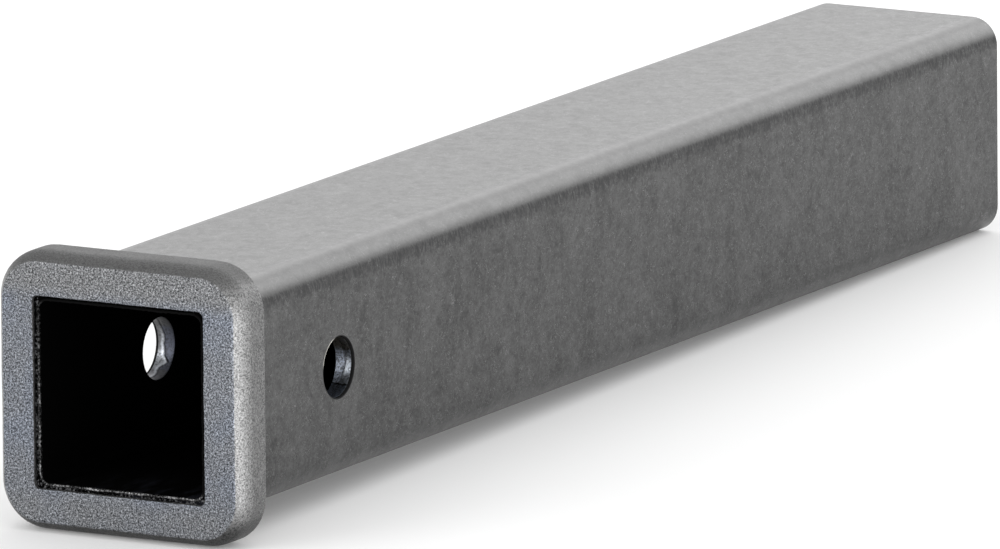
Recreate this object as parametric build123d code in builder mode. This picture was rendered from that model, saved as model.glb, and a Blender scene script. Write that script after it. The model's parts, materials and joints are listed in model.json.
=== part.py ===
import os
from math import acos, sin

from build123d import *

# Receiver tube: a square steel tube that takes a towing shank, with a reinforcing
# collar seated over its mouth, a weld bead behind the collar and a cross hole for
# the hitch pin. All sizes are in millimetres.
#
# The origin is the centre of the mouth, in the plane of the collar's front face.
# +Y runs down the tube away from the mouth, +Z is up, and +X is to the right when
# looking into the mouth.

# Tube
overall_length = 457.2
tube_width = 63.5
tube_wall = 6.1
tube_corner_radius = 8.0
socket_corner_radius = 3.0
saw_edge_break = 0.4
mouth_edge_radius = 0.4

# Hitch pin hole, punched from the outside through both side walls
pin_hole_diameter = 17.3
pin_hole_setback = 66.7
pin_hole_roll_in = 0.25
pin_hole_breakout_depth = 2.6
pin_hole_breakout_flare = 0.3

# Reinforcing collar
collar_relief = 1.35
collar_lip = 1.6
collar_seat_clearance = 0.2
collar_wall = 7.25
collar_depth = 13.0
collar_corner_radius = 13.6
collar_shoulder_drop = 2.8
collar_shoulder_radius = 8.0
collar_face_edge_radius = 0.6
collar_opening_corner_radius = 2.5
collar_opening_edge_radius = 0.5
collar_back_edge_break = 0.6

# Weld bead round the tube, behind the collar
weld_collar_leg = 5.0
weld_tube_leg = 6.0
weld_crown = 0.7

# Sizes that follow
socket_width = tube_width - 2 * tube_wall
tube_side = tube_width / 2
pin_hole_radius = pin_hole_diameter / 2
seat_width = tube_width + 2 * collar_seat_clearance
seat_corner_radius = tube_corner_radius + collar_seat_clearance
collar_opening = socket_width + 2 * collar_relief
collar_width = seat_width + 2 * collar_wall

# The collar's shoulder is an arc that leaves the side at a tangent and is cut short
# by the faced front: the facing cut is what was taken off the blank's full round.
shoulder_turn = acos(1 - collar_shoulder_drop / collar_shoulder_radius)
facing_cut = collar_shoulder_radius * (1 - sin(shoulder_turn))

# Sections across the tube are drawn on this plane, which looks down the tube.
across = Plane.ZX

os.makedirs("parts", exist_ok=True)

# Receiver tube: it stands against the back of the collar's lip.
with BuildPart() as receiver_tube:
    with BuildSketch(across.offset(collar_lip)):
        RectangleRounded(tube_width, tube_width, tube_corner_radius)
        RectangleRounded(socket_width, socket_width, socket_corner_radius, mode=Mode.SUBTRACT)
    extrude(amount=overall_length - collar_lip)

    # Broken edges: round inside the mouth, and the saw's light break at the far end
    mouth_end = faces().sort_by(Axis.Y)[0]
    fillet(mouth_end.inner_wires().edges(), radius=mouth_edge_radius)
    far_end = faces().sort_by(Axis.Y)[-1]
    chamfer(far_end.edges(), length=saw_edge_break)

    # Pin hole through both side walls
    with BuildSketch(Plane.YZ.offset(-tube_side)):
        with Locations((pin_hole_setback, 0)):
            Circle(pin_hole_radius)
    extrude(amount=tube_width, mode=Mode.SUBTRACT)
    rims = (
        edges()
        .filter_by(GeomType.CIRCLE)
        .filter_by_position(
            Axis.Y,
            pin_hole_setback - pin_hole_radius,
            pin_hole_setback + pin_hole_radius,
        )
        .group_by(Axis.X)
    )
    outer_rims = rims[0] + rims[-1]
    inner_rims = rims[1] + rims[-2]

    # The punch rolls the outer rim in and breaks a wider, slanted rim out inside.
    for rim in inner_rims:
        wall_face = faces().filter_by(Plane.YZ).sort_by_distance(rim)[0]
        chamfer(
            rim,
            length=pin_hole_breakout_flare,
            length2=pin_hole_breakout_depth,
            reference=wall_face,
        )
    fillet(outer_rims, radius=pin_hole_roll_in)

# Reinforcing collar: a blank with rounded shoulders, faced flat at the mouth, opened
# to the lip and counterbored from behind as a seat for the tube's end
with BuildPart() as reinforcing_collar:
    with BuildSketch(across.offset(-facing_cut)):
        RectangleRounded(collar_width, collar_width, collar_corner_radius)
    extrude(amount=facing_cut + collar_depth)
    blank_front = faces().sort_by(Axis.Y)[0]
    fillet(blank_front.edges(), radius=collar_shoulder_radius)
    split(bisect_by=across, keep=Keep.TOP)

    with BuildSketch(across):
        RectangleRounded(collar_opening, collar_opening, collar_opening_corner_radius)
    extrude(amount=collar_depth, mode=Mode.SUBTRACT)
    with BuildSketch(across.offset(collar_lip)):
        RectangleRounded(seat_width, seat_width, seat_corner_radius)
    extrude(amount=collar_depth - collar_lip, mode=Mode.SUBTRACT)

    front_face = faces().sort_by(Axis.Y)[0]
    fillet(front_face.outer_wire().edges(), radius=collar_face_edge_radius)
    front_face = faces().sort_by(Axis.Y)[0]
    fillet(front_face.inner_wires().edges(), radius=collar_opening_edge_radius)
    back_face = faces().sort_by(Axis.Y)[-1]
    chamfer(back_face.outer_wire().edges(), length=collar_back_edge_break)

# Weld bead: a crowned fillet in the corner between the tube and the collar's back,
# once round the tube
with BuildPart() as collar_weld:
    with BuildSketch(across.offset(collar_depth)) as weld_route:
        RectangleRounded(tube_width, tube_width, tube_corner_radius)
    with BuildSketch(Plane.XY) as weld_section:
        with BuildLine():
            root = (tube_side, collar_depth)
            collar_toe = (tube_side + weld_collar_leg, collar_depth)
            tube_toe = (tube_side, collar_depth + weld_tube_leg)
            Line(root, collar_toe)
            SagittaArc(collar_toe, tube_toe, -weld_crown)
            Line(tube_toe, root)
        make_face()
    sweep(sections=weld_section.sketch, path=weld_route.sketch.faces()[0].outer_wire())

receiver_tube.part.label = "receiver_tube"
reinforcing_collar.part.label = "reinforcing_collar"
collar_weld.part.label = "collar_weld"

export_step(receiver_tube.part, "parts/receiver_tube.step")
export_step(reinforcing_collar.part, "parts/reinforcing_collar.step")
export_step(collar_weld.part, "parts/collar_weld.step")
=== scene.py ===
import json
import math

import bpy
from mathutils import Matrix, Vector, noise


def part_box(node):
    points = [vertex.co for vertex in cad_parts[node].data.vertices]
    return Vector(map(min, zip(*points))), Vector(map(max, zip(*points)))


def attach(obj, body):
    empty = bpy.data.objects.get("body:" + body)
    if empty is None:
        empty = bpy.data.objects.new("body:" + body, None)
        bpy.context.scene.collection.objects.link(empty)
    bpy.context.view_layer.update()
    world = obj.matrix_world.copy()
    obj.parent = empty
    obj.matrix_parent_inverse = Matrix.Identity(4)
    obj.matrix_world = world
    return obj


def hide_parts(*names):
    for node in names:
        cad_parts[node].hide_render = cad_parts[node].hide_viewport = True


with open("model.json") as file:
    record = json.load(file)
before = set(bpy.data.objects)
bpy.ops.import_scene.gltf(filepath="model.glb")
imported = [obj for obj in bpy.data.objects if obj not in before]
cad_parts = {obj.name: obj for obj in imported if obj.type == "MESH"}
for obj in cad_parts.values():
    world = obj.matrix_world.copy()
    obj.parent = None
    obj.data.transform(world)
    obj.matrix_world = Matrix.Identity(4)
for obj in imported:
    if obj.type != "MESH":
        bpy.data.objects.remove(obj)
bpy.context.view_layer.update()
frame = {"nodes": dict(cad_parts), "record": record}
nodes = frame["nodes"]
mm = 0.001
samePlace = 0.001 * mm
mergeDistance = 0.002 * mm

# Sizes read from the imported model, in metres
tubeLow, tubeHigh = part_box("receiver_tube")
collarLow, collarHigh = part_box("reinforcing_collar")
tubeStart = tubeLow.y
tubeEnd = tubeHigh.y
collarSide = collarHigh.x
collarDepth = collarHigh.y
pinHole = next(mount for mount in frame["record"]["mounts"] if mount["name"] == "hitch_pin")
holeY = pinHole["pos_m"][1]
holeRadius = pinHole["dims"]["r_mm"] * mm
print("stage: frame loaded")


# Camera: it stands where the photograph was taken from
cameraSetup = {
    "azimuth": 29.283,
    "elevation": 11.445,
    "roll": -0.534,
    "distance": 5.454,
    "slideRight": 0.104709,
    "slideUp": 0.034639,
    "focalPixels": 19903,
    "imageWidth": 1000,
    "sensorWidth": 36,
    "farthest": 60,
}


def addCamera(setup):
    azimuth = math.radians(setup["azimuth"])
    elevation = math.radians(setup["elevation"])
    roll = math.radians(setup["roll"])
    back = Vector((
        math.sin(azimuth) * math.cos(elevation),
        -math.cos(azimuth) * math.cos(elevation),
        math.sin(elevation),
    ))
    levelRight = Vector((0, 0, 1)).cross(back).normalized()
    levelUp = back.cross(levelRight)
    right = levelRight * math.cos(roll) + levelUp * math.sin(roll)
    up = levelUp * math.cos(roll) - levelRight * math.sin(roll)
    place = back * setup["distance"] + right * setup["slideRight"] + up * setup["slideUp"]
    bpy.ops.object.camera_add()
    camera = bpy.context.object
    camera.name = "photoCamera"
    turn = Matrix((right, up, back)).transposed().to_4x4()
    camera.matrix_world = Matrix.Translation(place) @ turn
    camera.data.sensor_width = setup["sensorWidth"]
    camera.data.lens = setup["focalPixels"] / setup["imageWidth"] * setup["sensorWidth"]
    camera.data.clip_end = setup["farthest"]
    bpy.context.scene.camera = camera


addCamera(cameraSetup)
print("stage: camera placed")


# Working steps that every piece goes through

def objectMode():
    bpy.ops.object.mode_set(mode="OBJECT")


def editMode(selectMode):
    bpy.ops.object.mode_set(mode="EDIT")
    bpy.ops.mesh.select_mode(type=selectMode)


def deselectAll():
    if bpy.context.object and bpy.context.object.mode != "OBJECT":
        objectMode()
    bpy.ops.object.select_all(action="DESELECT")


def pick(*things):
    deselectAll()
    for thing in things:
        thing.select_set(True)
    bpy.context.view_layer.objects.active = things[0]


def selectEdges(thing, wanted):
    # Leaves the piece in edit mode with just the wanted edges selected
    pick(thing)
    editMode("EDGE")
    bpy.ops.mesh.select_all(action="DESELECT")
    objectMode()
    mesh = thing.data
    for edge in mesh.edges:
        first, second = (mesh.vertices[index].co for index in edge.vertices)
        edge.select = wanted(first, second)
    bpy.ops.object.mode_set(mode="EDIT")


def applyPlace(thing):
    pick(thing)
    bpy.ops.object.transform_apply(location=True, rotation=True, scale=True)


def applyModifiers(thing):
    pick(thing)
    for modifier in list(thing.modifiers):
        bpy.ops.object.modifier_apply(modifier=modifier.name)


def faceOutward(thing):
    pick(thing)
    editMode("VERT")
    bpy.ops.mesh.select_all(action="SELECT")
    bpy.ops.mesh.remove_doubles(threshold=mergeDistance)
    bpy.ops.mesh.normals_make_consistent(inside=False)
    objectMode()


def remeshFine(thing, voxel, smoothing):
    # An even skin of small faces that the grain can then be worked into
    remesh = thing.modifiers.new("evenSkin", "REMESH")
    remesh.mode = "VOXEL"
    remesh.voxel_size = voxel
    smooth = thing.modifiers.new("easeSkin", "SMOOTH")
    smooth.iterations = smoothing
    applyModifiers(thing)


def pushSkin(thing, shift):
    # Every place and normal is read before the first point moves
    points = [(vertex, vertex.co.copy(), vertex.normal.copy()) for vertex in thing.data.vertices]
    for vertex, spot, normal in points:
        vertex.co = spot + shift(spot, normal)


def dressNode(nodeName, material):
    slots = nodes[nodeName].data.materials
    slots.clear()
    slots.append(material)


def finishPiece(thing, material, slotName, *replaced):
    # The carried-over nodes behind a piece get its material too
    applyPlace(thing)
    bpy.ops.object.shade_smooth()
    thing.data.materials.append(material)
    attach(thing, "root")
    if replaced:
        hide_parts(*replaced)
    for nodeName in replaced:
        dressNode(nodeName, material)
    print("piece:", thing.name, len(thing.data.polygons), "faces")


def addRoundedBlock(name, half, yFrom, yTo, cornerRadius, segments):
    # A square block along Y with its four long edges rounded
    deselectAll()
    bpy.ops.mesh.primitive_cube_add(
        size=2, location=(0, (yFrom + yTo) / 2, 0), scale=(half, (yTo - yFrom) / 2, half))
    block = bpy.context.object
    block.name = name
    applyPlace(block)
    selectEdges(block, lambda first, second: abs(first.y - second.y) > samePlace)
    bpy.ops.mesh.bevel(offset=cornerRadius, segments=segments, profile=0.5, affect="EDGES")
    objectMode()
    return block


def addRoundedRing(name, stations, segments):
    # A closed ring round the tube: each station is a half width, a corner radius and a
    # place along Y, and each loop is bridged to the next and the last to the first
    loops = []
    for half, cornerRadius, y in stations:
        deselectAll()
        bpy.ops.mesh.primitive_plane_add(size=2 * half, location=(0, y, 0), rotation=(math.pi / 2, 0, 0))
        loop = bpy.context.object
        applyPlace(loop)
        editMode("VERT")
        bpy.ops.mesh.select_all(action="SELECT")
        bpy.ops.mesh.bevel(offset=cornerRadius, segments=segments, profile=0.5, affect="VERTICES")
        bpy.ops.mesh.select_all(action="SELECT")
        bpy.ops.mesh.delete(type="ONLY_FACE")
        objectMode()
        loops.append(loop)
    pick(*loops)
    bpy.ops.object.join()
    ring = bpy.context.object
    ring.name = name
    for index, station in enumerate(stations):
        following = stations[(index + 1) % len(stations)]
        places = (station[2], following[2])
        selectEdges(ring, lambda first, second: abs(first.y - second.y) < samePlace
                    and min(abs(first.y - place) for place in places) < samePlace)
        bpy.ops.mesh.bridge_edge_loops()
        objectMode()
    faceOutward(ring)
    return ring


# Node helpers for the materials. In the pieces' dictionaries a noise is its scale, detail,
# roughness and distortion, a stretch is how fast it runs along X, Y and Z, and a fade runs
# between two places or levels, from one strength to another (0 to 1 where none is given).
# A ramp is a list of levels and tones, and a bump is its strength and distance.

def grey(level):
    return (level, level, level)


def feed(tree, socket, value):
    # Links the socket or sets it, and a colour may come without its alpha
    if isinstance(value, bpy.types.NodeSocket):
        tree.links.new(value, socket)
    elif socket.type == "RGBA" and len(value) == 3:
        socket.default_value = (*value, 1)
    else:
        socket.default_value = value


def addNode(tree, kind, inputs, settings=None):
    node = tree.nodes.new(kind)
    for key, value in (settings or {}).items():
        setattr(node, key, value)
    for key, value in inputs.items():
        feed(tree, node.inputs[key], value)
    return node


def calc(tree, operation, first, *others):
    # Works along a row of values, or on a single one
    if not others:
        return addNode(tree, "ShaderNodeMath", {0: first}, {"operation": operation}).outputs[0]
    for other in others:
        first = addNode(tree, "ShaderNodeMath", {0: first, 1: other}, {"operation": operation}).outputs[0]
    return first


def fade(tree, value, low, high, toLow=0.0, toHigh=1.0):
    inputs = dict(enumerate((value, low, high, toLow, toHigh)))
    return addNode(tree, "ShaderNodeMapRange", inputs, {"interpolation_type": "SMOOTHSTEP"}).outputs[0]


def lineAt(tree, value, level, inner, outer):
    # 1 where the value is near the level, and 0 where it is further off than outer
    away = calc(tree, "ABSOLUTE", calc(tree, "SUBTRACT", value, level))
    return fade(tree, away, inner, outer, 1, 0)


def stretch(tree, place, factors):
    return addNode(tree, "ShaderNodeVectorMath", {0: place, 1: factors}, {"operation": "MULTIPLY"}).outputs[0]


def cloud(tree, place, scale, detail=2.0, roughness=0.5, distortion=0.0):
    inputs = {
        "Vector": place,
        "Scale": scale,
        "Detail": detail,
        "Roughness": roughness,
        "Distortion": distortion,
    }
    return addNode(tree, "ShaderNodeTexNoise", inputs).outputs[0]


def ramp(tree, factor, stops):
    node = addNode(tree, "ShaderNodeValToRGB", {"Fac": factor})
    elements = node.color_ramp.elements
    while len(elements) < len(stops):
        elements.new(0.5)
    for element, (position, colour) in zip(elements, stops):
        element.position = position
        element.color = (*colour, 1)
    return node.outputs[0]


def blend(tree, factor, first, second, mode="MIX"):
    inputs = {0: factor, 6: first, 7: second}
    return addNode(tree, "ShaderNodeMix", inputs, {"data_type": "RGBA", "blend_type": mode}).outputs[2]


def coordinates(tree, place):
    return addNode(tree, "ShaderNodeSeparateXYZ", {0: place}).outputs


def markOn(tree, name):
    return addNode(tree, "ShaderNodeAttribute", {}, {"attribute_name": name}).outputs["Fac"]


def startTree(owner, outputKind):
    owner.use_nodes = True
    tree = owner.node_tree
    tree.nodes.clear()
    return tree, tree.nodes.new(outputKind)


def startMaterial(name):
    material = bpy.data.materials.new(name)
    tree, output = startTree(material, "ShaderNodeOutputMaterial")
    shader = tree.nodes.new("ShaderNodeBsdfPrincipled")
    tree.links.new(shader.outputs[0], output.inputs[0])
    place = tree.nodes.new("ShaderNodeTexCoord").outputs["Object"]
    return material, tree, shader, place


def setSteel(tree, shader, colour, roughness, metallic=1.0, specular=0.5):
    feed(tree, shader.inputs["Base Color"], colour)
    feed(tree, shader.inputs["Roughness"], roughness)
    feed(tree, shader.inputs["Metallic"], metallic)
    shader.inputs["Specular IOR Level"].default_value = specular


def addBump(tree, shader, height, strength, distance):
    bump = addNode(tree, "ShaderNodeBump", {"Height": height, "Strength": strength, "Distance": distance})
    tree.links.new(bump.outputs[0], shader.inputs["Normal"])


# Tube: rolled steel under thin mill scale, dark inside, saw-cut at the far end
rolledTube = {
    # Mill scale, drawn out along the tube
    "drawnOut": (0.92, 0.8, 0.92),
    "cloudStretch": (1, 1, 0.55),
    "cloudNoise": (110, 2, 0.5),
    "patchNoise": (340, 4, 0.62, 0.5),
    "fineNoise": (1450, 3, 0.65),
    "cloudShare": 0.24,
    "patchShare": 0.32,
    "fineShare": 0.44,
    "scaleRamp": [(0.38, grey(0.05)), (0.62, grey(0.12))],
    "curlNoise": (760, 2, 0.5, 1.6),
    "curlPlaceNoise": (380, 2, 0.5),
    "curlPlaceFade": (0.42, 0.58, 0, 0.8),
    "curlWidth": 0.024,
    "curls": [(0.5, grey(0.25)), (0.455, grey(0.035))],
    # Upper corners and the band of painted dark reflection below them
    "arcHeight": (25.5 * mm, 27 * mm),
    "arcWidth": (22 * mm, 26 * mm, 0, 0.65),
    "arcTurn": (25 * mm, 29 * mm),
    "arcStart": grey(0.125),
    "arcTone": grey(0.1),
    "toothStretch": (260, 800, 260),
    "toothNoise": (1, 4, 0.75),
    "toothMiddle": 0.5,
    "toothLength": 8 * mm,
    "edgeWander": 2.2 * mm,
    "bandLow": (23 * mm, 23.7 * mm, 0, 0.85),
    "bandHigh": (26.3 * mm, 27.2 * mm, 1, 0),
    "strokeStretch": (420, 1250, 420),
    "strokeNoise": (1, 3, 0.65),
    "strokeFade": (0.42, 0.56, 1, 0.25),
    "reflectionBandTone": (0.04, 0.04, 0.041),
    # Rims of the pin hole: painted shade with a painted highlight
    "rimFade": (holeRadius + 0.2 * mm, holeRadius + 0.38 * mm, 1, 0),
    "rimShadeTone": (0.03, 0.03, 0.031),
    "glintFront": (-1.5 * mm, -4 * mm),
    "glintTop": (0.5 * mm, 2.5 * mm),
    "paintedGlintTone": (1.0, 1.0, 0.94),
    # Socket, and the end behind the collar's lip, both painted in shade
    "socketWall": (25.75 * mm, 25.95 * mm, 1, 0),
    "endDepth": (tubeStart + 0.5 * mm, tubeStart + 0.9 * mm, 1, 0),
    "socketShadeTone": grey(0.002),
    "streakStretch": (170, 40, 170),
    "streakNoise": (1, 4, 0.6),
    "streakFade": (0.46, 0.76),
    "streakDepth": (34 * mm, 3 * mm),
    "socketFloor": (-25.2 * mm, -25.6 * mm),
    "streakAcross": (-12 * mm, 12 * mm, 0.3, 1),
    "streakTone": (0.02, 0.0215, 0.028),
    "speckNoise": (1500, 3, 0.6),
    "speckFade": (0.52, 0.63),
    "speckSide": (-25.4 * mm, -25.9 * mm),
    "speckGlintTone": (0.13, 0.13, 0.135),
    # Far end
    "sawnEnd": (tubeEnd - 0.45 * mm, tubeEnd - 0.35 * mm),
    "sawStretch": (70, 70, 2400),
    "sawNoise": (1, 2),
    "sawRamp": [(0.35, (0.16, 0.16, 0.165)), (0.65, (0.3, 0.3, 0.305))],
    # Sheen and relief
    "scaleRoughness": (0.3, 0.7, 0.345, 0.32),
    "dullRoughness": 0.8,
    "fineRelief": 0.5,
    "curlRelief": 0.5,
    "sawRelief": 4,
    "bump": (0.2, 0.06 * mm),
}


def makeTubeMaterial(look):
    material, tree, shader, place = startMaterial("rolledTubeSteel")
    x, y, z = coordinates(tree, place)
    absX = calc(tree, "ABSOLUTE", x)
    absZ = calc(tree, "ABSOLUTE", z)

    # Broad clouds, soft patches, a fine mottle and short curled marks
    drawn = stretch(tree, place, look["drawnOut"])
    broad = cloud(tree, stretch(tree, place, look["cloudStretch"]), *look["cloudNoise"])
    patch = cloud(tree, drawn, *look["patchNoise"])
    fine = cloud(tree, drawn, *look["fineNoise"])
    layers = ((patch, "patchShare"), (fine, "fineShare"), (broad, "cloudShare"))
    mottle = calc(tree, "ADD", *(calc(tree, "MULTIPLY", layer, look[share]) for layer, share in layers))
    colour = ramp(tree, mottle, look["scaleRamp"])
    curl = cloud(tree, drawn, *look["curlNoise"])
    curlPlace = fade(tree, cloud(tree, place, *look["curlPlaceNoise"]), *look["curlPlaceFade"])
    for level, tone in look["curls"]:
        line = lineAt(tree, curl, level, 0, look["curlWidth"])
        colour = blend(tree, calc(tree, "MULTIPLY", line, curlPlace), colour, tone)

    # The scale is drawn smooth over the two upper corners, with a toothed band of painted dark reflection
    # below
    arc = calc(tree, "MULTIPLY", fade(tree, z, *look["arcHeight"]), fade(tree, absX, *look["arcWidth"]))
    arcTone = blend(tree, fade(tree, absX, *look["arcTurn"]), look["arcStart"], look["arcTone"])
    colour = blend(tree, arc, colour, arcTone)
    teeth = cloud(tree, stretch(tree, place, look["toothStretch"]), *look["toothNoise"])
    teeth = calc(tree, "SUBTRACT", teeth, look["toothMiddle"])
    ragged = calc(tree, "ADD", z, calc(tree, "MULTIPLY", teeth, look["toothLength"]))
    lined = calc(tree, "ADD", z, calc(tree, "MULTIPLY", teeth, look["edgeWander"]))
    strokes = cloud(tree, stretch(tree, place, look["strokeStretch"]), *look["strokeNoise"])
    reflectionBand = calc(tree, "MULTIPLY", fade(tree, ragged, *look["bandLow"]), fade(tree, lined, *look["bandHigh"]),
                fade(tree, strokes, *look["strokeFade"]))
    colour = blend(tree, reflectionBand, colour, look["reflectionBandTone"])

    # Each pin hole's rim, dull from the punch, is painted dark as shade, with a painted highlight at the
    # upper front
    fromHole = calc(tree, "SUBTRACT", y, holeY)
    squares = (calc(tree, "MULTIPLY", off, off) for off in (fromHole, z))
    radial = calc(tree, "SQRT", calc(tree, "ADD", *squares))
    shadedRim = fade(tree, radial, *look["rimFade"])
    paintedGlint = calc(tree, "MULTIPLY", fade(tree, fromHole, *look["glintFront"]), fade(tree, z, *look["glintTop"]))
    colour = blend(tree, shadedRim, colour, blend(tree, paintedGlint, look["rimShadeTone"], look["paintedGlintTone"]))

    # Inside the socket and on the end behind the collar's lip the scale is left dull and painted near black
    # as shade, with faint streaks where shanks have slid along the floor
    inside = fade(tree, calc(tree, "MAXIMUM", absX, absZ), *look["socketWall"])
    behindLip = fade(tree, y, *look["endDepth"])
    dullAndShaded = calc(tree, "MAXIMUM", inside, behindLip)
    colour = blend(tree, dullAndShaded, colour, look["socketShadeTone"])
    streaks = fade(tree, cloud(tree, stretch(tree, place, look["streakStretch"]), *look["streakNoise"]),
                   *look["streakFade"])
    streaks = calc(tree, "MULTIPLY", streaks, fade(tree, y, *look["streakDepth"]),
                   fade(tree, z, *look["socketFloor"]), fade(tree, x, *look["streakAcross"]), dullAndShaded)
    colour = blend(tree, streaks, colour, look["streakTone"])

    # That end is rough, with light specks painted as glints on the left and along the bottom
    specks = fade(tree, cloud(tree, place, *look["speckNoise"]), *look["speckFade"])
    glintSides = calc(tree, "MAXIMUM", *(fade(tree, side, *look["speckSide"]) for side in (x, z)))
    colour = blend(tree, calc(tree, "MULTIPLY", specks, glintSides, behindLip), colour, look["speckGlintTone"])

    # Far end: bare steel with fine saw lines
    sawn = fade(tree, y, *look["sawnEnd"])
    sawLines = cloud(tree, stretch(tree, place, look["sawStretch"]), *look["sawNoise"])
    colour = blend(tree, sawn, colour, ramp(tree, sawLines, look["sawRamp"]))

    dullRoughness = calc(tree, "MULTIPLY", calc(tree, "MAXIMUM", dullAndShaded, shadedRim), look["dullRoughness"])
    roughness = calc(tree, "MAXIMUM", fade(tree, patch, *look["scaleRoughness"]), dullRoughness)
    setSteel(tree, shader, colour, roughness, calc(tree, "SUBTRACT", 1.0, dullAndShaded), 0)
    relief = calc(tree, "ADD", calc(tree, "MULTIPLY", fine, look["fineRelief"]),
                  calc(tree, "MULTIPLY", curl, look["curlRelief"]),
                  calc(tree, "MULTIPLY", sawn, sawLines, look["sawRelief"]))
    addBump(tree, shader, relief, *look["bump"])
    return material


dressNode("receiver_tube", makeTubeMaterial(rolledTube))
print("stage: tube finished")


# Collar: forged ring with a faced front and pillowed shoulders, blasted to a coarse grain
forgedCollar = {
    "cornerRadius": 13.6 * mm,
    "cornerSteps": 16,
    "shoulderRadius": 8 * mm,
    "shoulderSteps": 14,
    "facingCut": 1.92 * mm,
    "openingHalf": 27 * mm,
    "openingCorner": 1.4 * mm,
    "openingSteps": 8,
    "seatHalf": 31.95 * mm,
    "seatCorner": 8.2 * mm,
    "seatSteps": 12,
    "lip": 1.6 * mm,
    "cutFrom": -10 * mm,
    "cutTo": 30 * mm,
    "voxel": 0.4 * mm,
    "smoothing": 1,
    "seatMargin": 0.6 * mm,
    "lipMargin": 0.3 * mm,
    "grainSize": 0.75 * mm,
    "grainHeight": 0.04 * mm,
    "waveSize": 9 * mm,
    "waveShift": (7, 3, 5),
    "waveHeight": 0.07 * mm,
    "wornHeight": 35.4 * mm,
    "wornDepth": 0.3 * mm,
    "wornGrain": 0.25,
    # Grain of the faced front and of the forged skin round it
    "grainNoise": (1900, 4, 0.85, 0.3),
    "hazeNoise": (60, 2),
    "faceDepth": (0.12 * mm, 0.36 * mm, 1, 0),
    "facedRamp": [(0.4, (0.024, 0.025, 0.026)), (0.51, (0.185, 0.187, 0.19)), (0.65, (0.58, 0.584, 0.594))],
    "forgedRamp": [(0.4, grey(0.09)), (0.51, grey(0.28)), (0.65, grey(0.45))],
    "coldTint": (0.9, 0.965, 1.1),
    "coldTop": (25 * mm, 31 * mm, 1, 0.15),
    "coldBottom": (-32 * mm, -26 * mm, 0.5, 1),
    "coldHaze": (0.35, 0.6, 1, 0.55),
    # Wear, and painted shade on the shoulders and the right flank
    "handledHeight": (31 * mm, 36.4 * mm),
    "handledStrength": 0.72,
    "handledShadeTone": grey(0.12),
    "lowerShadeHeight": (-29 * mm, -34.5 * mm),
    "lowerShadeTint": grey(0.3),
    "flankDepth": (4 * mm, 7 * mm),
    "flankSide": (36 * mm, 38 * mm),
    "flankShadeTint": grey(0.72),
    # Sheen and relief
    "hazeRoughness": (0.3, 0.7, 0.46, 0.54),
    "shoulderSheen": 0.05,
    "handledRoughness": 0.22,
    "reliefDepth": (0.2 * mm, 0.8 * mm, 0.6, 0.3),
    "handledRelief": 0.24,
    "bumpDistance": 0.18 * mm,
}


def makeCollarMaterial(look):
    material, tree, shader, place = startMaterial("blastedCollarSteel")
    x, y, z = coordinates(tree, place)
    grain = cloud(tree, place, *look["grainNoise"])
    haze = cloud(tree, place, *look["hazeNoise"])
    front = fade(tree, y, *look["faceDepth"])
    shoulder = calc(tree, "SUBTRACT", 1.0, front)
    colour = blend(tree, front, ramp(tree, grain, look["forgedRamp"]), ramp(tree, grain, look["facedRamp"]))

    # The faced front has a colder cast than the forged skin, most of all beside the mouth
    cold = calc(tree, "MULTIPLY", front, fade(tree, z, *look["coldTop"]), fade(tree, haze, *look["coldHaze"]),
                fade(tree, z, *look["coldBottom"]))
    colour = blend(tree, cold, colour, look["coldTint"], "MULTIPLY")

    # Handling has worn the upper shoulder, whose darker tone is painted shade
    handled = calc(tree, "MULTIPLY", fade(tree, z, *look["handledHeight"]), shoulder)
    worn = calc(tree, "MULTIPLY", handled, look["handledStrength"])
    colour = blend(tree, worn, colour, look["handledShadeTone"])
    # Painted shade on the lower shoulder
    lowerShoulderShade = calc(tree, "MULTIPLY", fade(tree, z, *look["lowerShadeHeight"]), shoulder)
    colour = blend(tree, lowerShoulderShade, colour, look["lowerShadeTint"], "MULTIPLY")
    # Painted shade on the right flank
    flankShade = calc(tree, "MULTIPLY", fade(tree, y, *look["flankDepth"]), fade(tree, x, *look["flankSide"]))
    colour = blend(tree, flankShade, colour, look["flankShadeTint"], "MULTIPLY")

    roughness = calc(tree, "SUBTRACT", fade(tree, haze, *look["hazeRoughness"]),
                     calc(tree, "MULTIPLY", shoulder, look["shoulderSheen"]))
    roughness = calc(tree, "ADD", roughness, calc(tree, "MULTIPLY", handled, look["handledRoughness"]))
    setSteel(tree, shader, colour, roughness)
    relief = calc(tree, "SUBTRACT", fade(tree, y, *look["reliefDepth"]),
                  calc(tree, "MULTIPLY", handled, look["handledRelief"]))
    addBump(tree, shader, grain, relief, look["bumpDistance"])
    return material


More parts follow.
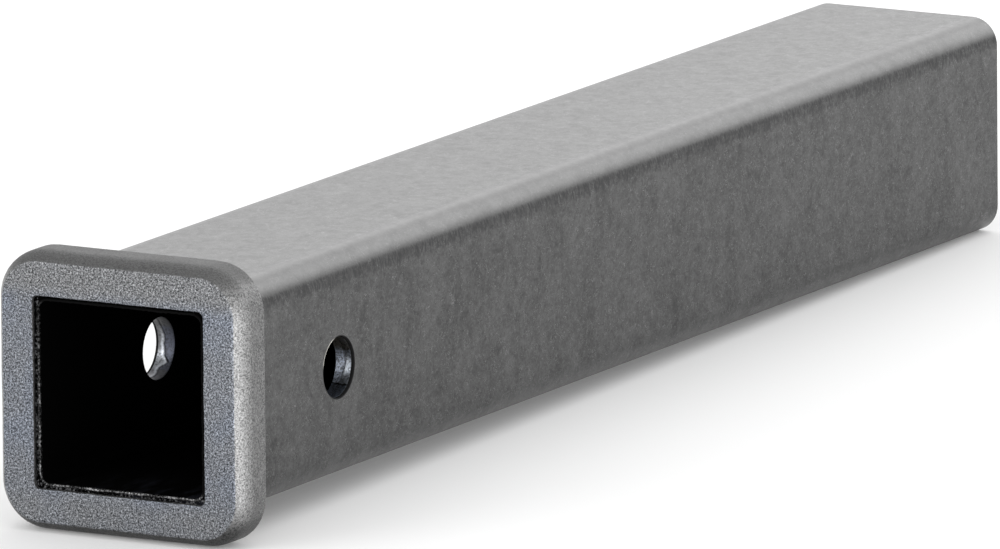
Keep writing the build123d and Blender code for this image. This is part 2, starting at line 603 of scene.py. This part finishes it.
def addCollar(shape):
    # The blank is rounded, shouldered and faced, then opened and counterbored
    front = -shape["facingCut"]
    collar = addRoundedBlock(
        "forgedCollar", collarSide, front, collarDepth, shape["cornerRadius"], shape["cornerSteps"])
    selectEdges(collar, lambda first, second: max(first.y, second.y) < front + samePlace)
    bpy.ops.mesh.bevel(
        offset=shape["shoulderRadius"], segments=shape["shoulderSteps"], profile=0.5, affect="EDGES")
    bpy.ops.mesh.select_all(action="SELECT")
    bpy.ops.mesh.bisect(plane_co=(0, 0, 0), plane_no=(0, -1, 0), use_fill=True, clear_outer=True)
    objectMode()
    opening = addRoundedBlock("openingCutter", shape["openingHalf"], shape["cutFrom"], shape["cutTo"],
                              shape["openingCorner"], shape["openingSteps"])
    seat = addRoundedBlock("seatCutter", shape["seatHalf"], shape["lip"], shape["cutTo"],
                           shape["seatCorner"], shape["seatSteps"])
    for cutter in (opening, seat):
        cut = collar.modifiers.new("cut", "BOOLEAN")
        cut.operation = "DIFFERENCE"
        cut.object = cutter
        applyModifiers(collar)
        pick(cutter)
        bpy.ops.object.delete()
    remeshFine(collar, shape["voxel"], shape["smoothing"])
    seatStart = shape["lip"] + shape["lipMargin"]
    seatSide = shape["seatHalf"] + shape["seatMargin"]

    def grainShift(spot, normal):
        # The counterbored seat stays smooth, so that it clears the tube
        if spot.y > seatStart and max(abs(spot.x), abs(spot.z)) < seatSide:
            return Vector()
        grain = noise.noise(spot / shape["grainSize"])
        wave = noise.noise(spot / shape["waveSize"] + Vector(shape["waveShift"]))
        if spot.z > shape["wornHeight"] and spot.y > shape["wornDepth"]:
            grain *= shape["wornGrain"]
        return normal * (grain * shape["grainHeight"] + wave * shape["waveHeight"])

    pushSkin(collar, grainShift)
    finishPiece(collar, makeCollarMaterial(shape), "collar_steel", "reinforcing_collar")


addCollar(forgedCollar)
print("stage: collar forged and blasted")


# Weld bead behind the collar, laid in overlapping ripples
rippledWeld = {
    "flat": 23.75 * mm,
    "root": 31.55 * mm,
    "rootDepth": 0.05 * mm,
    "collarToe": 36.85 * mm,
    "tubeToe": 31.6 * mm,
    "back": 12.8 * mm,
    "length": 6.3 * mm,
    "crown": 0.75 * mm,
    "crownLean": 0.8,
    "crownSteps": 6,
    "cornerSteps": 14,
    "voxel": 0.33 * mm,
    "smoothing": 2,
    "pitch": 2.4 * mm,
    "bow": 1.7 * mm,
    "drift": 1.1 * mm,
    "driftSize": 7 * mm,
    "driftShift": 3 * mm,
    "ridgePower": 0.7,
    "rippleHeight": 0.34 * mm,
    "wanderSize": 3.2 * mm,
    "wanderHeight": 0.3 * mm,
    "rootMargin": 0.2 * mm,
    "collarMargin": 0.1 * mm,
    "rearTilt": 0.2,
    # Oxide in the valleys, bare crests and stains of heat
    "rippleRamp": [(0.1, (0.075, 0.07, 0.066)), (0.75, (0.25, 0.24, 0.23))],
    "stainNoise": (260, 3, 0.55),
    "heatFade": (0.42, 0.62, 0, 0.7),
    "heatTone": (0.17, 0.145, 0.115),
    "stainRoughness": (0.3, 0.7, 0.28, 0.46),
    "pitNoise": (1900, 2, 0.6),
    "bump": (0.25, 0.1 * mm),
}


def makeWeldMaterial(look):
    material, tree, shader, place = startMaterial("rippledWeldMetal")
    stain = cloud(tree, place, *look["stainNoise"])
    colour = ramp(tree, markOn(tree, "ripple"), look["rippleRamp"])
    colour = blend(tree, fade(tree, stain, *look["heatFade"]), colour, look["heatTone"])
    setSteel(tree, shader, colour, fade(tree, stain, *look["stainRoughness"]))
    addBump(tree, shader, cloud(tree, place, *look["pitNoise"]), *look["bump"])
    return material


def lengthRound(x, z, flat, bend):
    # How far round the tube a point lies, from the middle of its right side
    side = 2 * flat + math.pi / 2 * bend
    for turn in range(4):
        if x > flat and z > flat:
            return turn * side + flat + math.atan2(z - flat, x - flat) * bend
        if x > 0 and abs(z) <= flat <= x:
            return turn * side + z
        x, z = z, -x
    return 0


def addWeld(shape):
    flat = shape["flat"]
    back = shape["back"]
    stations = [(shape["root"], shape["root"] - flat, back + shape["rootDepth"])]
    for step in range(shape["crownSteps"] + 1):
        along = step / shape["crownSteps"]
        swell = 4 * along * (1 - along) * shape["crown"]
        half = shape["collarToe"] + (shape["tubeToe"] - shape["collarToe"]) * along + swell
        stations.append((half, half - flat, back + shape["length"] * along + swell * shape["crownLean"]))
    weld = addRoundedRing("rippledWeld", stations, shape["cornerSteps"])
    remeshFine(weld, shape["voxel"], shape["smoothing"])
    ripples = weld.data.attributes.new("ripple", "FLOAT", "POINT")
    bend = (shape["root"] + shape["collarToe"]) / 2 - flat

    def ridgeAt(spot):
        across = min(max((spot.y - back) / shape["length"], 0), 1)
        around = lengthRound(spot.x, spot.z, flat, bend)
        drift = noise.noise(Vector((around, 0, shape["driftShift"])) / shape["driftSize"]) * shape["drift"]
        phase = (around + drift + shape["bow"] * (1 - (2 * across - 1) ** 2)) / shape["pitch"]
        return math.sin(math.pi * (phase % 1)) ** shape["ridgePower"]

    def rippleShift(spot, normal):
        # Only the bead's own crown ripples, not what lies against the tube and the collar
        clearOfTube = max(abs(spot.x), abs(spot.z)) > shape["root"] + shape["rootMargin"]
        clearOfCollar = spot.y >= collarDepth + shape["collarMargin"]
        if not clearOfCollar or not (clearOfTube or normal.y > shape["rearTilt"]):
            return Vector()
        wander = noise.noise(spot / shape["wanderSize"]) * shape["wanderHeight"]
        return normal * ((ridgeAt(spot) - 0.5) * shape["rippleHeight"] + wander)

    for vertex in weld.data.vertices:
        ripples.data[vertex.index].value = ridgeAt(vertex.co)
    pushSkin(weld, rippleShift)
    finishPiece(weld, makeWeldMaterial(shape), "weld_steel", "collar_weld")


addWeld(rippledWeld)
print("stage: weld laid")


# Burr along the tube's inner edge at the mouth, left by the cut and rolled over unevenly
mouthBurr = {
    "half": 26.02 * mm,
    "cornerRadius": 3.1 * mm,
    "cornerSteps": 10,
    "thickness": 0.84 * mm,
    "setBack": 0.12 * mm,
    "section": ((-1, -0.6), (-0.4, -1), (0.5, -0.95), (1, 0), (0.4, 0.95), (-0.7, 1)),
    "voxel": 0.11 * mm,
    "smoothing": 1,
    "wanderSize": 5 * mm,
    "wanderShift": (11, 0, 0),
    "wanderBack": 0.15 * mm,
    "wanderIn": 0.18 * mm,
    "nickSize": 0.8 * mm,
    "nick": 0.22 * mm,
    # Painted light along the bottom and down the left, painted shade elsewhere
    "bottomFade": (-23.5 * mm, -25 * mm),
    "leftFade": (-24 * mm, -25.4 * mm),
    "leftHeight": (22 * mm, -20 * mm, 0.25, 0.9),
    "litPatchNoise": (190, 2),
    "litPatchFade": (0.35, 0.6, 0.3, 1),
    "speckNoise": (1700, 3, 0.6),
    "speckFade": (0.42, 0.62, 0.16, 1),
    "litShadeRamp": [(0.05, grey(0.006)), (0.9, (0.36, 0.36, 0.365))],
    "metalFade": (0.02, 0.2),
    "roughness": 0.38,
    "pitNoise": (2600, 2),
    "bump": (0.3, 0.08 * mm),
}


def makeBurrMaterial(look):
    # The burr is painted lit along the bottom and down to the left corner,
    # and painted near black as shade elsewhere
    material, tree, shader, place = startMaterial("burrSteel")
    x, y, z = coordinates(tree, place)
    bottom = fade(tree, z, *look["bottomFade"])
    left = calc(tree, "MULTIPLY", fade(tree, x, *look["leftFade"]), fade(tree, z, *look["leftHeight"]))
    # Patches and specks break up the painted light
    worn = fade(tree, cloud(tree, place, *look["litPatchNoise"]), *look["litPatchFade"])
    specks = fade(tree, cloud(tree, place, *look["speckNoise"]), *look["speckFade"])
    paintedLit = calc(tree, "MULTIPLY", worn, specks, calc(tree, "MAXIMUM", bottom, left))
    colour = ramp(tree, paintedLit, look["litShadeRamp"])
    setSteel(tree, shader, colour, look["roughness"], fade(tree, paintedLit, *look["metalFade"]), 0)
    addBump(tree, shader, cloud(tree, place, *look["pitNoise"]), *look["bump"])
    return material


def addMouthBurr(shape):
    thick = shape["thickness"] / 2
    middle = tubeStart + shape["setBack"]
    stations = [(shape["half"] + side * thick, shape["cornerRadius"] + side * thick, middle + depth * thick)
                for side, depth in shape["section"]]
    burr = addRoundedRing("mouthBurr", stations, shape["cornerSteps"])
    remeshFine(burr, shape["voxel"], shape["smoothing"])

    def rollShift(spot, normal):
        flatSpot = Vector((spot.x, 0, spot.z))
        seed = flatSpot / shape["wanderSize"]
        back = noise.noise(seed) * shape["wanderBack"]
        inward = noise.noise(seed + Vector(shape["wanderShift"])) * shape["wanderIn"]
        nick = noise.noise(spot / shape["nickSize"]) * shape["nick"]
        return Vector((0, back, 0)) - flatSpot.normalized() * inward + normal * nick

    pushSkin(burr, rollShift)
    finishPiece(burr, makeBurrMaterial(shape), "tube_steel")


addMouthBurr(mouthBurr)
print("stage: mouth burr rolled")


# Torn steel inside the punched pin holes: a burnished band, then a rougher break
boreLining = {
    "outside": 31.4 * mm,
    "rollIn": 30.9 * mm,
    "rollWidth": 0.3 * mm,
    "inside": 25.75 * mm,
    "breakStart": 28.25 * mm,
    "flare": 0.27 * mm,
    "proud": 0.12 * mm,
    "burnishProud": 0.1 * mm,
    "around": 264,
    "cuts": 25,
    "wall": 0.3 * mm,
    "breakAt": 28.9 * mm,
    "breakWidth": 0.22 * mm,
    "breakWaves": ((1.7, 0.9 * mm), (7, 0.25 * mm)),
    "sideShift": 3,
    "notchWidth": 0.22,
    "notchDepth": 2 * mm,
    "roughSize": 0.9 * mm,
    "roughHeight": 0.035 * mm,
    "lipAt": -2.4,
    "lipWidth": 3.2,
    "grooveAt": 1.4,
    "grooveWidth": 1.3,
    # What the steel of both holes has in common
    "speckleNoise": (1700, 3, 0.65),
    "wobbleNoise": (420, 2),
    "wobbleMiddle": 0.5,
    "wobble": 2.4 * mm,
    "patchTop": (-1.5 * mm, -4 * mm),
    "patchBottom": (-8 * mm, -6 * mm),
    "shadeStainHeight": (-2 * mm, 2 * mm),
    "fleckFade": (0.52, 0.4, 0, 0.7),
    "lipTop": (4.5 * mm, 1 * mm),
    "lipBottom": (-8 * mm, -6.4 * mm, 0.25, 1),
    "lipFleck": (0.35, 0.55, 0.5, 1),
    "crackWander": 0.4,
    "crackWidth": (0.1 * mm, 0.32 * mm),
    "grooveStrength": 0.85,
    "darkStrength": 0.9,
    "rimFade": (30.68 * mm, 30.92 * mm),
    "rimShadeTone": grey(0.012),
    "breakRoughness": 0.1,
    "bump": (0.4, 0.12 * mm),
}

# Two holes: the near one painted lit and brighter, the far one painted in shade, its crack out of its reach
nearHole = {
    "side": 1,
    "notchAt": math.radians(-52),
    "burnish": (0.56, 0.61, 0.68),
    "broken": (0.72, 0.79, 0.92),
    "shadeStainTop": (0.27, 0.25, 0.215),
    "shadeStainLow": (0.3, 0.34, 0.42),
    "fleck": (0.06, 0.055, 0.05),
    "lip": (0.9, 0.93, 0.97),
    "lipStrength": 0.2,
    "litBandLow": (-6.5 * mm, -6 * mm),
    "litBandHigh": (2.6 * mm, 4.4 * mm, 1, 0),
    "crackAt": -6.1 * mm,
    "patch": 0.0,
    "roughness": 0.34,
}
farHole = {
    "side": -1,
    "notchAt": math.radians(-38),
    "burnish": (0.17, 0.172, 0.178),
    "broken": (0.125, 0.134, 0.17),
    "shadeStainTop": (0.12, 0.12, 0.122),
    "shadeStainLow": (0.12, 0.12, 0.13),
    "fleck": (0.07, 0.07, 0.075),
    "lip": (0.55, 0.58, 0.63),
    "lipStrength": 0.9,
    "litBandLow": (-7.5 * mm, -7 * mm),
    "litBandHigh": (4 * mm, 5.8 * mm, 1, 0),
    "crackAt": -30 * mm,
    "patch": 0.4,
    "roughness": 0.4,
}


def makeBoreMaterial(name, look, hole):
    # Painted light on the torn steel across the middle, painted shade and stain above and below it,
    # and a bright lip where the break starts
    material, tree, shader, place = startMaterial(name)
    x, y, z = coordinates(tree, place)
    torn = markOn(tree, "torn")
    speckle = cloud(tree, place, *look["speckleNoise"])
    wobble = calc(tree, "SUBTRACT", cloud(tree, place, *look["wobbleNoise"]), look["wobbleMiddle"])
    wobble = calc(tree, "MULTIPLY", wobble, look["wobble"])
    level = calc(tree, "ADD", z, wobble)
    paintedLitBand = calc(tree, "MULTIPLY", fade(tree, level, *hole["litBandLow"]),
                 fade(tree, level, *hole["litBandHigh"]))
    patch = calc(tree, "MULTIPLY", fade(tree, z, *look["patchTop"]), fade(tree, z, *look["patchBottom"]),
                 hole["patch"], calc(tree, "SUBTRACT", 1.0, torn))
    metal = blend(tree, patch, blend(tree, torn, hole["burnish"], hole["broken"]), hole["lip"])
    # Painted shade above and below the lit band, tinted by stain
    stain = blend(tree, fade(tree, z, *look["shadeStainHeight"]), hole["shadeStainLow"], hole["shadeStainTop"])
    colour = blend(tree, paintedLitBand, stain, metal)
    colour = blend(tree, fade(tree, speckle, *look["fleckFade"]), colour, hole["fleck"])
    lipShown = calc(tree, "MULTIPLY", markOn(tree, "tornEdge"), fade(tree, z, *look["lipTop"]),
                    hole["lipStrength"], fade(tree, z, *look["lipBottom"]),
                    fade(tree, speckle, *look["lipFleck"]))
    colour = blend(tree, lipShown, colour, hole["lip"])

    # A crack crosses the steel, and a groove runs along the break
    crackLevel = calc(tree, "ADD", z, calc(tree, "MULTIPLY", wobble, look["crackWander"]))
    crack = lineAt(tree, crackLevel, hole["crackAt"], *look["crackWidth"])
    groove = calc(tree, "MULTIPLY", markOn(tree, "tornGroove"), look["grooveStrength"])
    dark = calc(tree, "MULTIPLY", calc(tree, "MAXIMUM", crack, groove), look["darkStrength"])
    colour = blend(tree, dark, colour, hole["fleck"], "MULTIPLY")

    # The outermost ring, where the rim was rolled in, is painted dark as shade
    shadedRim = fade(tree, calc(tree, "ABSOLUTE", x), *look["rimFade"])
    colour = blend(tree, shadedRim, colour, look["rimShadeTone"])
    roughness = fade(tree, torn, 0, 1, hole["roughness"], hole["roughness"] + look["breakRoughness"])
    setSteel(tree, shader, colour, roughness, calc(tree, "SUBTRACT", 1.0, shadedRim), 0)
    addBump(tree, shader, speckle, *look["bump"])
    return material


def peak(value, centre, width):
    return max(0, 1 - abs(value - centre) / width)


def addBoreLining(name, materialName, shape, hole):
    width = shape["outside"] - shape["inside"]
    side = hole["side"]
    deselectAll()
    bpy.ops.mesh.primitive_cylinder_add(
        vertices=shape["around"], radius=holeRadius, depth=width, end_fill_type="NOTHING",
        location=(side * (shape["inside"] + width / 2), holeY, 0), rotation=(0, math.pi / 2, 0),
    )
    lining = bpy.context.object
    lining.name = name
    applyPlace(lining)
    selectEdges(lining, lambda first, second: abs(first.x - second.x) > samePlace)
    bpy.ops.mesh.subdivide(number_cuts=shape["cuts"])
    objectMode()
    tornMark = lining.data.attributes.new("torn", "FLOAT", "POINT")
    edgeMark = lining.data.attributes.new("tornEdge", "FLOAT", "POINT")
    grooveMark = lining.data.attributes.new("tornGroove", "FLOAT", "POINT")
    for vertex in lining.data.vertices:
        depth = abs(vertex.co.x)
        angle = math.atan2(vertex.co.z, vertex.co.y - holeY)

        # The break's edge waves round the hole and dips at the notch
        ring = Vector((math.cos(angle), math.sin(angle), side * shape["sideShift"]))
        waves = sum(noise.noise(ring * turns) * height for turns, height in shape["breakWaves"])
        fromNotch = (angle - hole["notchAt"] + math.pi) % (2 * math.pi) - math.pi
        notch = peak(fromNotch, 0, shape["notchWidth"]) * shape["notchDepth"]
        past = (shape["breakAt"] + waves - notch - depth) / shape["breakWidth"]
        torn = min(max(past, 0), 1)

        # Past it the steel is rough and flares out, and the outer rim is rolled in
        flare = max(0, shape["breakStart"] - depth) / (shape["breakStart"] - shape["inside"]) * shape["flare"]
        roll = max(0, depth - shape["rollIn"]) / (shape["outside"] - shape["rollIn"]) * shape["rollWidth"]
        spot = Vector((depth, vertex.co.y, vertex.co.z))
        rough = noise.noise(spot / shape["roughSize"]) * shape["roughHeight"]
        burnish = (1 - torn) * shape["burnishProud"]
        reach = holeRadius - shape["proud"] - burnish + (flare + rough) * torn + roll
        vertex.co.y = holeY + math.cos(angle) * reach
        vertex.co.z = math.sin(angle) * reach
        tornMark.data[vertex.index].value = torn
        edgeMark.data[vertex.index].value = peak(past, shape["lipAt"], shape["lipWidth"])
        grooveMark.data[vertex.index].value = peak(past, shape["grooveAt"], shape["grooveWidth"])
    wall = lining.modifiers.new("wall", "SOLIDIFY")
    wall.thickness = shape["wall"]
    wall.offset = 1
    applyModifiers(lining)
    faceOutward(lining)
    finishPiece(lining, makeBoreMaterial(materialName, shape, hole), "tube_steel")


addBoreLining("nearBoreLining", "nearPunchedBore", boreLining, nearHole)
addBoreLining("farBoreLining", "farPunchedBore", boreLining, farHole)
print("stage: pin holes punched")


# Studio: a pale floor that the part lies on, a white world and soft lamps
studio = {
    "floorSize": 40,
    "floorColour": grey(0.8),
    "floorLift": 0.14,
    "worldLight": 1.0,
    "collarBackBreak": 0.6 * mm,
}

# Each lamp: where it stands, what it points at, its size and the brightness of its face
lamps = {
    "rearSoftbox": ((-0.19, 2.1, 1.33), (0, 0.2, 0), (3.0, 2.4), 0.62),
    "highSoftbox": ((0.02, 2.15, 1.15), (0, 0.2, 0), (2.2, 1.1), 0.65),
    "cornerSoftbox": ((0.54, 2.2, 1.0), (0, 0.2, 0), (1.2, 1.0), 1.15),
    "sideSoftbox": ((1.25, -0.32, 0.14), (0, 0, 0), (1.5, 0.34), 1.2),
    "frontSoftbox": ((-0.86, -1.4, 0.72), (0, 0, 0), (0.9, 0.6), 4),
}

# Two cards that are seen only in reflections: a grey one over the mouth that calms the collar's
# upper shoulder, and a lit one on the floor beside the collar that fills its right shoulder
greyCard = {
    "place": (-0.72, -0.3, 1.28),
    "size": 1.3,
    "colour": grey(0.42),
}
sideCard = {
    "place": (0.35, -0.27),
    "size": 0.56,
    "lift": 0.5 * mm,
    "brightness": 3.1,
}

# The part lies on the collar's back edge and the tube's far end, so the floor tips by that angle
restY = collarDepth - studio["collarBackBreak"]
floorSlope = math.atan2(tubeLow.z - collarLow.z, tubeEnd - restY)


def seenDirectly(tree):
    # 1 where the camera, a reflection or glass sees it, 0 where it only lights
    path = tree.nodes.new("ShaderNodeLightPath")
    rays = ("Is Camera Ray", "Is Glossy Ray", "Is Transmission Ray")
    return calc(tree, "MAXIMUM", *(path.outputs[ray] for ray in rays))


def addPlane(name, size, place, turn):
    deselectAll()
    bpy.ops.mesh.primitive_plane_add(size=size, location=place, rotation=turn)
    plane = bpy.context.object
    plane.name = name
    return plane


def addFloor(setup):
    # Where it is seen the floor is a little brighter than it lights the part
    floor = addPlane("paleFloor", setup["floorSize"], (0, restY, collarLow.z), (floorSlope, 0, 0))
    material = bpy.data.materials.new("palePaper")
    tree, output = startTree(material, "ShaderNodeOutputMaterial")
    paper = addNode(tree, "ShaderNodeBsdfDiffuse", {"Color": setup["floorColour"]})
    strength = calc(tree, "MULTIPLY", seenDirectly(tree), setup["floorLift"])
    lift = addNode(tree, "ShaderNodeEmission", {"Strength": strength})
    both = addNode(tree, "ShaderNodeAddShader", {0: paper.outputs[0], 1: lift.outputs[0]})
    tree.links.new(both.outputs[0], output.inputs[0])
    floor.data.materials.append(material)


def addCard(name, size, place, turn, paperName, kind, inputs):
    card = addPlane(name, size, place, turn)
    paper = bpy.data.materials.new(paperName)
    tree, output = startTree(paper, "ShaderNodeOutputMaterial")
    tree.links.new(addNode(tree, kind, inputs).outputs[0], output.inputs[0])
    card.data.materials.append(paper)
    card.visible_camera = False
    card.visible_diffuse = False
    card.visible_shadow = False


def addGreyCard(setup):
    turn = Vector(setup["place"]).to_track_quat("Z", "Y").to_euler()
    addCard("greyCard", setup["size"], setup["place"], turn,
            "greyPaper", "ShaderNodeBsdfDiffuse", {"Color": setup["colour"]})


def addSideCard(setup):
    x, y = setup["place"]
    height = collarLow.z + (y - restY) * math.tan(floorSlope) + setup["lift"]
    addCard("sideCard", setup["size"], (x, y, height), (floorSlope, 0, 0),
            "litPaper", "ShaderNodeEmission", {"Strength": setup["brightness"]})


def addLamp(name, place, target, size, brightness):
    deselectAll()
    bpy.ops.object.light_add(type="AREA", location=place)
    lamp = bpy.context.object
    lamp.name = name
    lamp.data.shape = "RECTANGLE"
    lamp.data.size, lamp.data.size_y = size
    lamp.data.energy = brightness * math.pi * size[0] * size[1]
    lamp.rotation_euler = (Vector(target) - Vector(place)).to_track_quat("-Z", "Y").to_euler()
    lamp.visible_camera = False


def addWorld(setup):
    world = bpy.data.worlds.new("paleWorld")
    bpy.context.scene.world = world
    tree, output = startTree(world, "ShaderNodeOutputWorld")
    background = addNode(tree, "ShaderNodeBackground", {"Color": grey(1), "Strength": setup["worldLight"]})
    tree.links.new(background.outputs[0], output.inputs[0])


addFloor(studio)
addWorld(studio)
addGreyCard(greyCard)
addSideCard(sideCard)
for lampName, lampSetup in lamps.items():
    addLamp(lampName, *lampSetup)
bpy.context.scene.view_settings.view_transform = "Standard"
print("stage: studio lit")
